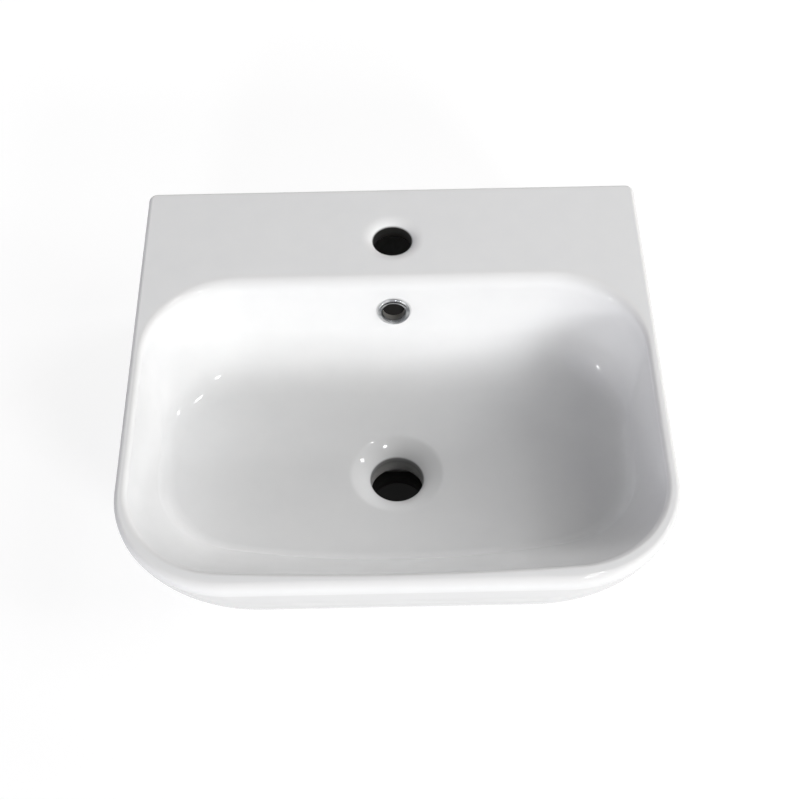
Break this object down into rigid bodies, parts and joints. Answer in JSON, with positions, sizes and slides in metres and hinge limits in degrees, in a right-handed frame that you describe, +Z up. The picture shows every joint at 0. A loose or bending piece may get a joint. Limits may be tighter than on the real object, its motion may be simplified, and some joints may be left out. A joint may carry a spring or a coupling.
{
  "type": "countertop wash basin",
  "caption": "White glazed china countertop basin: flat rear tap deck, rounded rectangular bowl, sunk waste outlet and a chromed push-in overflow trim.",
  "frame": {"origin": "Middle of the rectangle that holds the basin, on the plane that its foot stands on.", "axes": "+X to the basin's right-hand side as seen by its user, +Y to the wall behind the tap deck, +Z up out of the tap hole; the front faces -Y."},
  "size_m": [0.45, 0.43, 0.15],
  "materials": {
    "china": "white vitreous glaze over vitreous china, bare body on the foot",
    "bright_chrome": "bright chrome plating on brass",
    "washer_rubber": "soft grey silicone",
    "ring_rubber": "black nitrile rubber"
  },
  "bodies": {
    "basin": {"basin_body": "china"},
    "overflow_trim": {"overflow_bezel": "bright_chrome", "overflow_washer": "washer_rubber", "front_grip_ring": "ring_rubber", "rear_grip_ring": "ring_rubber"}
  },
  "joints": [
    {"name": "trim_pull", "type": "slide", "parent": "basin", "child": "overflow_trim", "axis": [0, -0.9951, 0.0993], "range_m": [0, 0.025]}
  ]
}
